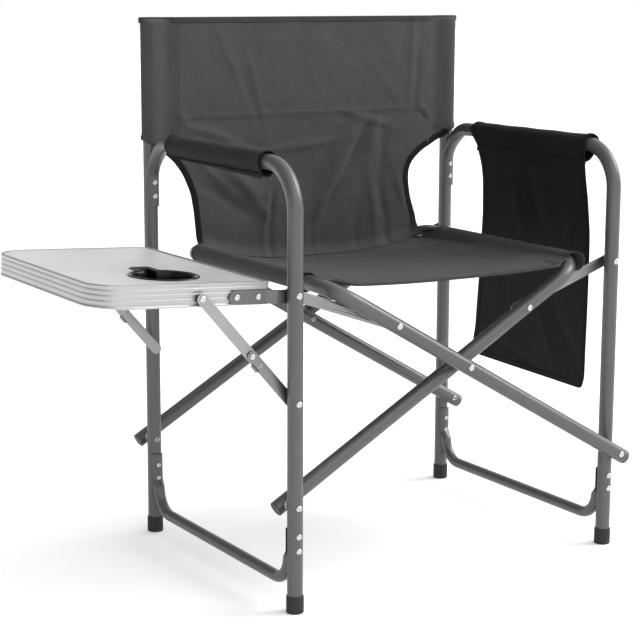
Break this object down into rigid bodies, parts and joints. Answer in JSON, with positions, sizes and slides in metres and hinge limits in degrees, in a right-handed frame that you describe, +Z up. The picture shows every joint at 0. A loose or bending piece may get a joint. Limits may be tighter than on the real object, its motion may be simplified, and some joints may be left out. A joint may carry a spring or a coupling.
{
  "type": "folding chair",
  "caption": "Folding director chair with fabric seat and back, scissor cross tubes, fold-down side table with a cup holder, and a hanging side organiser",
  "frame": {"origin": "middle of the bounding box's footprint, on the floor", "axes": "+Z up; the chair faces -Y; side table on the -X side, organiser on the +X side (the sitter's left)"},
  "size_m": [0.8744, 0.4974, 0.806],
  "materials": {
    "frame_tube": "mid-grey satin powder coat on round steel tube",
    "foot_plastic": "dark rubber foot cap",
    "canvas": "charcoal woven polyester, hemmed and stitched",
    "arm_fabric": "dark woven polyester sleeve",
    "organiser_fabric": "near-black woven polyester with bound edge",
    "table_aluminium": "extruded satin aluminium edge",
    "table_top": "light silver sheet",
    "cup_plastic": "black moulded cup holder",
    "strut_steel": "zinc-plated strip",
    "link_aluminium": "bright pressed strip",
    "rivet_steel": "bright rivet",
    "spacer_plastic": "light-grey nylon"
  },
  "bodies": {
    "left_side": {"left_leg_arm_tube": "frame_tube", "left_rear_post": "frame_tube", "left_stretcher": "frame_tube", "foot_cap_front_left": "foot_plastic", "foot_cap_rear_left": "foot_plastic", "left_arm_sleeve": "arm_fabric", "pivot_rivet_front_left": "rivet_steel", "pivot_rivet_rear_left": "rivet_steel", "pivot_spacer_front_left": "spacer_plastic", "pivot_spacer_rear_left": "spacer_plastic", "link_pin_front_left": "rivet_steel", "link_pin_rear_left": "rivet_steel", "strut_pin_front": "rivet_steel", "strut_pin_rear": "rivet_steel"},
    "right_side": {"right_leg_arm_tube": "frame_tube", "right_rear_post": "frame_tube", "right_stretcher": "frame_tube", "foot_cap_front_right": "foot_plastic", "foot_cap_rear_right": "foot_plastic", "right_arm_sleeve": "organiser_fabric", "organiser_panel": "organiser_fabric", "pivot_rivet_front_right": "rivet_steel", "pivot_rivet_rear_right": "rivet_steel", "pivot_spacer_front_right": "spacer_plastic", "pivot_spacer_rear_right": "spacer_plastic", "link_pin_front_right": "rivet_steel", "link_pin_rear_right": "rivet_steel"},
    "cross_right": {"cross_tube_right_rail": "frame_tube", "end_plug_front_left": "spacer_plastic", "end_plug_rear_left": "spacer_plastic", "center_rivet_front": "rivet_steel", "center_rivet_rear": "rivet_steel", "center_spacer_front": "spacer_plastic", "center_spacer_rear": "spacer_plastic", "link_rivet_front_right": "rivet_steel", "link_rivet_rear_right": "rivet_steel"},
    "cross_left": {"cross_tube_left_rail": "frame_tube", "end_plug_front_right": "spacer_plastic", "end_plug_rear_right": "spacer_plastic", "link_rivet_front_left": "rivet_steel", "link_rivet_rear_left": "rivet_steel"},
    "left_links": {"link_front_left": "link_aluminium", "link_rear_left": "link_aluminium"},
    "right_links": {"link_front_right": "link_aluminium", "link_rear_right": "link_aluminium"},
    "table": {"table_frame": "table_aluminium", "table_top": "table_top", "cup_holder": "cup_plastic", "table_hinge_bar_front": "strut_steel", "table_hinge_bar_rear": "strut_steel"},
    "struts_lower": {"strut_lower_front": "strut_steel", "strut_lower_rear": "strut_steel", "knee_rivet_front": "rivet_steel", "knee_rivet_rear": "rivet_steel"},
    "struts_upper": {"strut_upper_front": "strut_steel", "strut_upper_rear": "strut_steel"},
    "seat_left": {"seat_left": "canvas"},
    "seat_right": {"seat_right": "canvas"},
    "back_left": {"back_left": "canvas"},
    "back_right": {"back_right": "canvas"}
  },
  "joints": [
    {"name": "frame_fold", "type": "hinge", "parent": "left_side", "child": "cross_right", "pos_m": [-0.15582, -0.2355, 0.1513], "axis": [0, -1, 0], "range_deg": [0, 45.88]},
    {"name": "cross_scissor", "type": "hinge", "parent": "cross_right", "child": "cross_left", "pos_m": [0.13048, -0.2075, 0.3174], "axis": [0, -1, 0], "range_deg": [-91.77, 0]},
    {"name": "frame_fold_right", "type": "hinge", "parent": "cross_left", "child": "right_side", "pos_m": [0.41678, -0.2075, 0.1513], "axis": [0, -1, 0], "range_deg": [0, 45.89]},
    {"name": "left_links_swing", "type": "hinge", "parent": "left_side", "child": "left_links", "pos_m": [-0.15582, -0.2355, 0.4458], "axis": [0, -1, 0], "range_deg": [0, 93.88]},
    {"name": "right_links_swing", "type": "hinge", "parent": "right_side", "child": "right_links", "pos_m": [0.41678, -0.2075, 0.4458], "axis": [0, -1, 0], "range_deg": [-93.88, 0]},
    {"name": "table_fold", "type": "hinge", "parent": "left_side", "child": "table", "pos_m": [-0.15582, -0.2355, 0.4458], "axis": [0, -1, 0], "range_deg": [0, 84]},
    {"name": "strut_lower_swing", "type": "hinge", "parent": "left_side", "child": "struts_lower", "pos_m": [-0.15582, -0.2355, 0.2973], "axis": [0, -1, 0], "range_deg": [0, 149.39]},
    {"name": "strut_upper_swing", "type": "hinge", "parent": "table", "child": "struts_upper", "pos_m": [-0.28801, -0.2355, 0.44949], "axis": [0, -1, 0], "range_deg": [-107.37, 0]},
    {"name": "seat_left_fold", "type": "hinge", "parent": "cross_left", "child": "seat_left", "pos_m": [-0.09552, -0.2355, 0.44852], "axis": [0, -1, 0], "range_deg": [-27.89, 0], "deforming": ["seat_left"]},
    {"name": "seat_crease", "type": "hinge", "parent": "seat_left", "child": "seat_right", "pos_m": [0.13048, -0.2355, 0.449], "axis": [0, -1, 0], "range_deg": [0, 147.53], "deforming": ["seat_right"]},
    {"name": "back_left_fold", "type": "hinge", "parent": "left_side", "child": "back_left", "pos_m": [-0.15582, 0.2045, 0.7], "axis": [0, 0, 1], "range_deg": [0, 80.65], "deforming": ["back_left"]},
    {"name": "back_crease", "type": "hinge", "parent": "back_left", "child": "back_right", "pos_m": [0.13048, 0.2185, 0.7], "axis": [0, 0, 1], "range_deg": [-147.06, 0], "deforming": ["back_right"]}
  ],
  "couplings": [
    {"joint": "cross_scissor", "follows": "frame_fold", "ratio": -2},
    {"joint": "frame_fold_right", "follows": "frame_fold", "ratio": 1},
    {"joint": "left_links_swing", "follows": "frame_fold", "ratio": 2.0459},
    {"joint": "right_links_swing", "follows": "frame_fold", "ratio": -2.0459},
    {"joint": "strut_lower_swing", "follows": "table_fold", "ratio": 1.7784},
    {"joint": "strut_upper_swing", "follows": "table_fold", "ratio": -1.2781},
    {"joint": "seat_left_fold", "follows": "frame_fold", "ratio": -0.60766},
    {"joint": "seat_crease", "follows": "frame_fold", "ratio": 3.2153},
    {"joint": "back_left_fold", "follows": "frame_fold", "ratio": 1.7577},
    {"joint": "back_crease", "follows": "frame_fold", "ratio": -3.2052}
  ]
}
